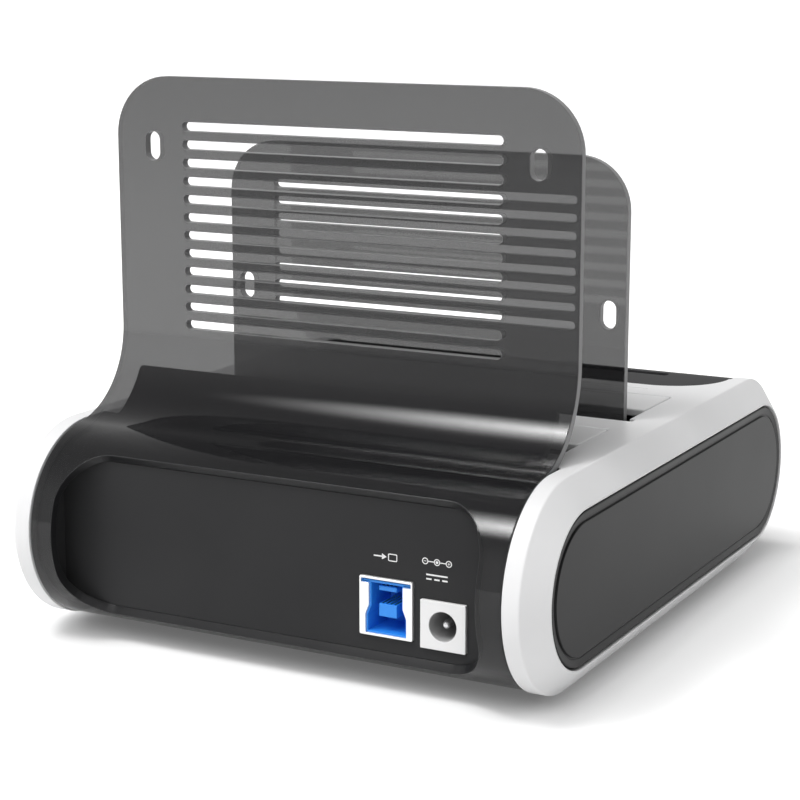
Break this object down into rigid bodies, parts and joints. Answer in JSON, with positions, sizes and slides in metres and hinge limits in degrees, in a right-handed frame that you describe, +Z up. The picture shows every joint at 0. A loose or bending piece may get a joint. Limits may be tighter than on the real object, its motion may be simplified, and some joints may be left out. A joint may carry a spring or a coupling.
{
  "type": "hard drive docking station",
  "caption": "White drive docking station with hinged flaps over its upright bays, tall slotted smoked guards, rounded ends and a rear panel with data and power sockets.",
  "frame": {"origin": "on the table, under the middle of the body's outline", "axes": "+Z up, +Y to the rear with the connectors, -Y to the front with the buttons, X across"},
  "size_m": [0.1298, 0.153, 0.1219],
  "materials": {
    "white_shell": "satin white ABS",
    "white_flap": "satin white ABS",
    "side_panel": "dark grey satin, slightly glossy",
    "smoked_acrylic": "polished smoked acrylic sheet",
    "front_cover": "dark polished",
    "black_shell": "fine matte texture",
    "rubber_foot": "matte",
    "steel": "plated",
    "circuit_board": "solder mask",
    "black_component": "moulded",
    "capacitor": "satin can",
    "ferrite": "sintered",
    "contact": "gold plated",
    "blue_insulator": "moulded",
    "jack_body": "moulded",
    "lens": "frosted clear",
    "button_cap": "polished"
  },
  "bodies": {
    "housing": {"top_housing": "white_shell", "end_frame_left": "white_shell", "end_frame_right": "white_shell", "side_panel_left": "side_panel", "side_panel_right": "side_panel", "rear_guard": "smoked_acrylic", "middle_guard": "smoked_acrylic", "front_cover": "front_cover", "rear_shell": "black_shell", "base_tray": "black_shell", "bay_liner_rear": "black_shell", "bay_liner_front": "black_shell", "feet": "rubber_foot", "base_screws": "steel", "guard_screws": "steel", "board_screws": "steel", "flap_pin_rear": "steel", "flap_pin_front": "steel", "flap_spring_rear": "steel", "flap_spring_front": "steel", "jack_pin": "steel", "crystal": "steel", "data_socket_shell": "steel", "main_board": "circuit_board", "button_board": "circuit_board", "bridge_chip": "black_component", "small_chips": "black_component", "link_header": "black_component", "push_switches": "black_component", "drive_socket_rear": "black_component", "drive_socket_front": "black_component", "capacitors": "capacitor", "coils": "ferrite", "socket_contacts_rear": "contact", "socket_contacts_front": "contact", "data_socket_insert": "blue_insulator", "power_jack": "jack_body", "status_lights": "lens", "light_bar": "lens"},
    "flap_rear": {"flap_rear": "white_flap"},
    "flap_front": {"flap_front": "white_flap"},
    "power_button": {"power_button": "button_cap"},
    "copy_button": {"copy_button": "button_cap"}
  },
  "joints": [
    {"name": "flap_rear_hinge", "type": "hinge", "parent": "housing", "child": "flap_rear", "pos_m": [0, 0.0068, 0.0426], "axis": [-1, 0, 0], "range_deg": [0, 88], "stiffness_Nm_per_rad": 0.002, "springref_deg": -40.11},
    {"name": "flap_front_hinge", "type": "hinge", "parent": "housing", "child": "flap_front", "pos_m": [0, -0.0314, 0.0426], "axis": [-1, 0, 0], "range_deg": [0, 88], "stiffness_Nm_per_rad": 0.002, "springref_deg": -40.11},
    {"name": "power_button_press", "type": "slide", "parent": "housing", "child": "power_button", "axis": [0, 1, 0], "range_m": [0, 0.0005], "stiffness_N_per_m": 400, "springref_m": -0.0015},
    {"name": "copy_button_press", "type": "slide", "parent": "housing", "child": "copy_button", "axis": [0, 1, 0], "range_m": [0, 0.0005], "stiffness_N_per_m": 400, "springref_m": -0.0015}
  ]
}
